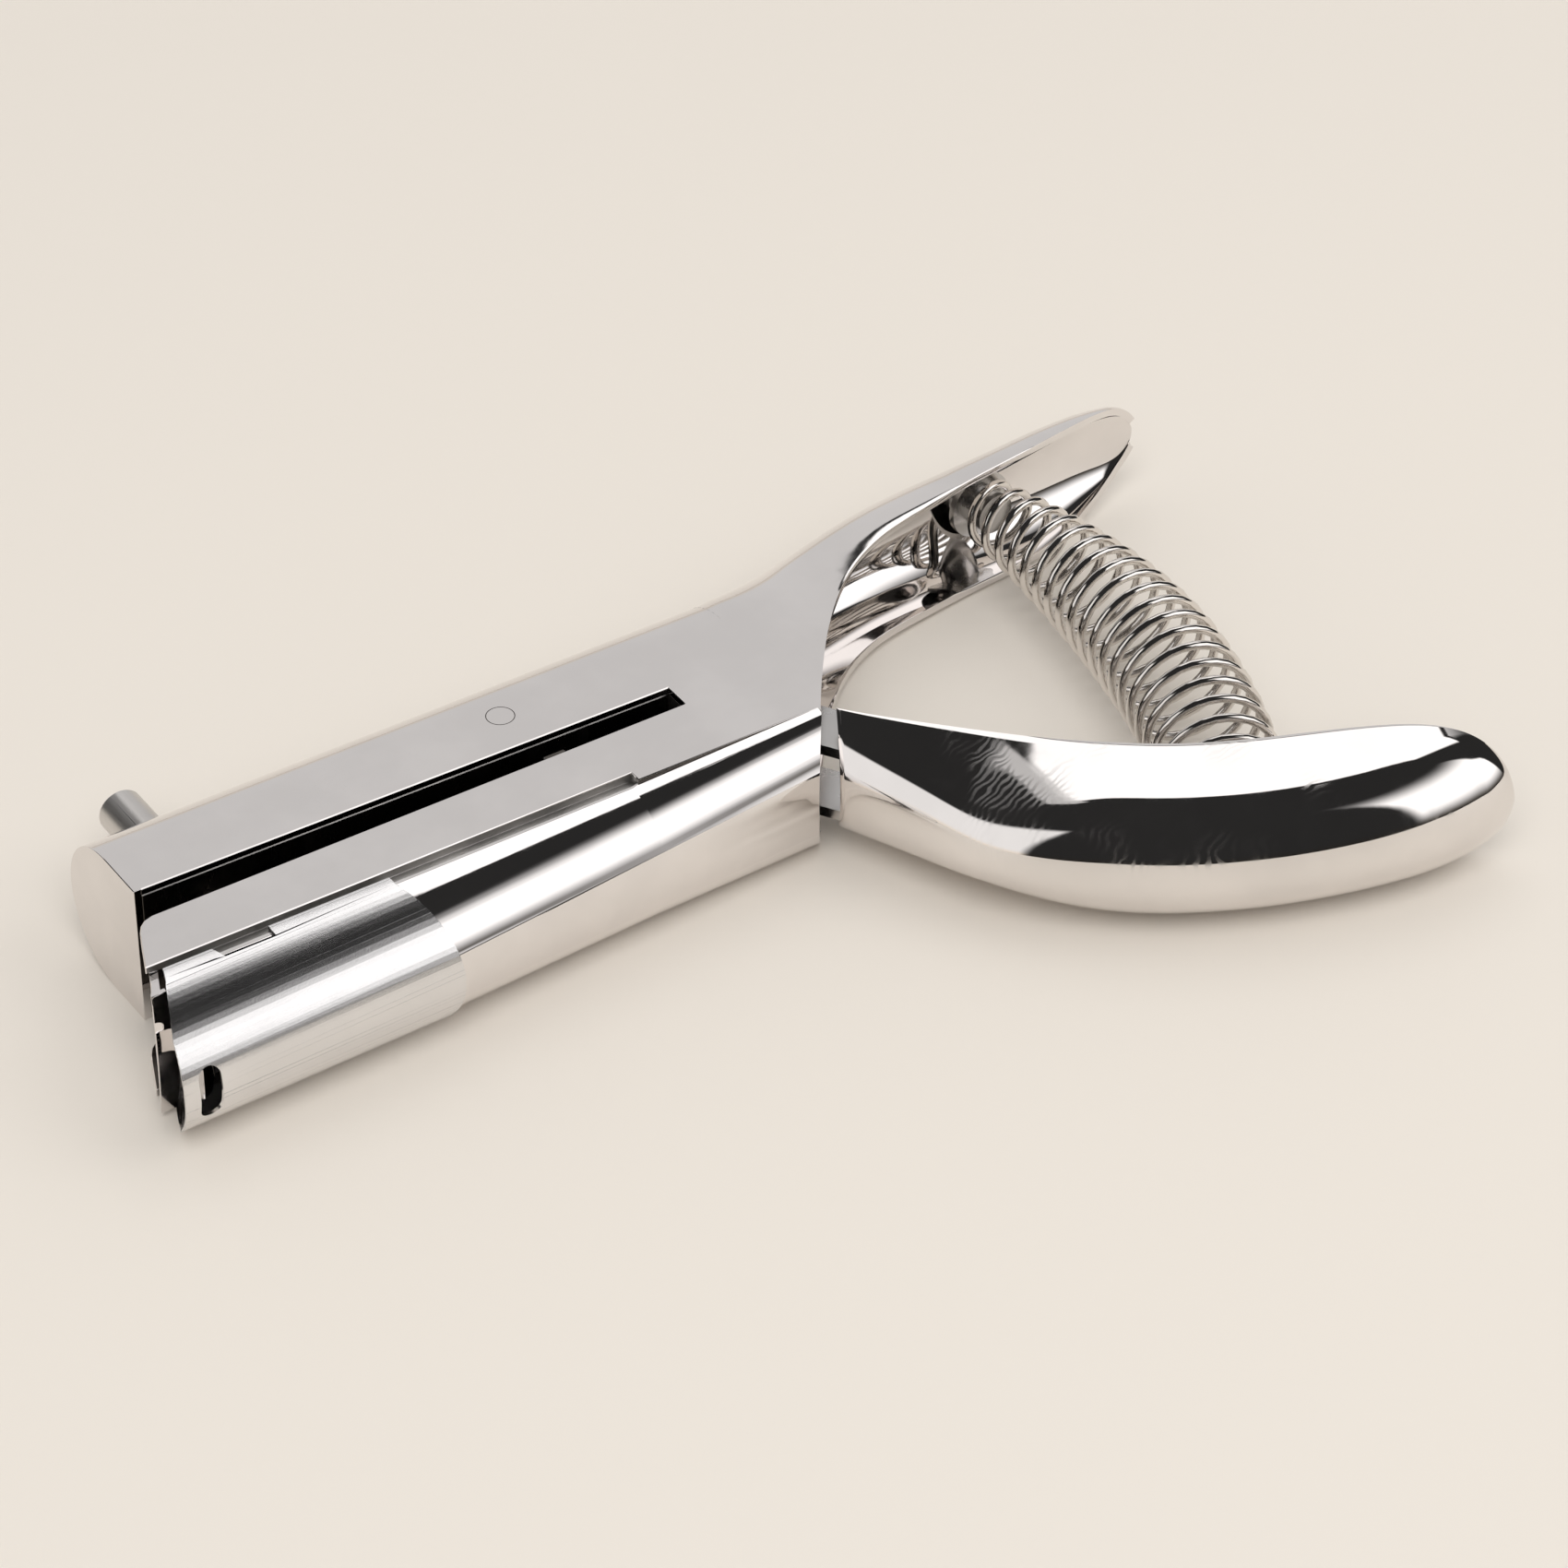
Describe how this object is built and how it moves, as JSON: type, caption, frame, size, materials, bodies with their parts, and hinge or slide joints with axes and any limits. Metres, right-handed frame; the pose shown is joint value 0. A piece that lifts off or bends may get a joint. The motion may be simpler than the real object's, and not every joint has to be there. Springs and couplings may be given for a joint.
{
  "type": "hole punch",
  "caption": "Long reach hand punch for tickets, polished plated sheet body with a deep paper throat, plier handles, a curved return spring and a sliding chip tray",
  "frame": {"origin": "On the pivot axis, at the far end of the pivot rivet, in the flat cheek that lies on the table", "axes": "+X runs along the jaws to the ends of the handles, +Y runs from the throat to the spine, +Z runs along the pivot, up from the table to the near cheek"},
  "size_m": [0.2327, 0.1284, 0.027],
  "materials": {
    "plate": "polished",
    "tray": "satin",
    "steel": "brushed",
    "inner": "satin",
    "wire": "polished",
    "brass": "satin"
  },
  "bodies": {
    "frame": {"body_shell": "plate", "nose_plate": "plate", "jaw_front_plate": "plate", "upper_frame": "inner", "lower_frame": "inner", "throat_stop": "inner", "upper_guide": "steel", "lower_guide": "steel", "anvil_block": "inner", "die_bush": "steel", "pivot_rivet": "plate", "washer_near": "brass", "washer_far": "brass", "upper_spring_seat": "inner", "tray_catch": "steel", "spring": "wire"},
    "lever": {"lever_plate_near": "inner", "lever_plate_far": "inner", "lever_hub": "steel", "lever_saddle": "inner", "lower_handle": "plate", "lower_spring_seat": "inner"},
    "punch": {"punch_rod": "steel", "cross_pin": "steel"},
    "tray": {"chip_tray": "tray"}
  },
  "joints": [
    {"name": "lever", "type": "hinge", "parent": "frame", "child": "lever", "pos_m": [0, 0, 0.0135], "axis": [0, 0, 1], "range_deg": [0, 9], "stiffness_Nm_per_rad": 10, "springref_deg": -5.73, "deforming": ["spring"]},
    {"name": "punch", "type": "slide", "parent": "frame", "child": "punch", "axis": [0, -1, 0], "range_m": [0, 0.0092]},
    {"name": "tray", "type": "slide", "parent": "frame", "child": "tray", "axis": [1, 0, 0], "range_m": [0, 0.045]}
  ],
  "couplings": [
    {"joint": "punch", "follows": "lever", "m_per_rad": 0.0574}
  ]
}
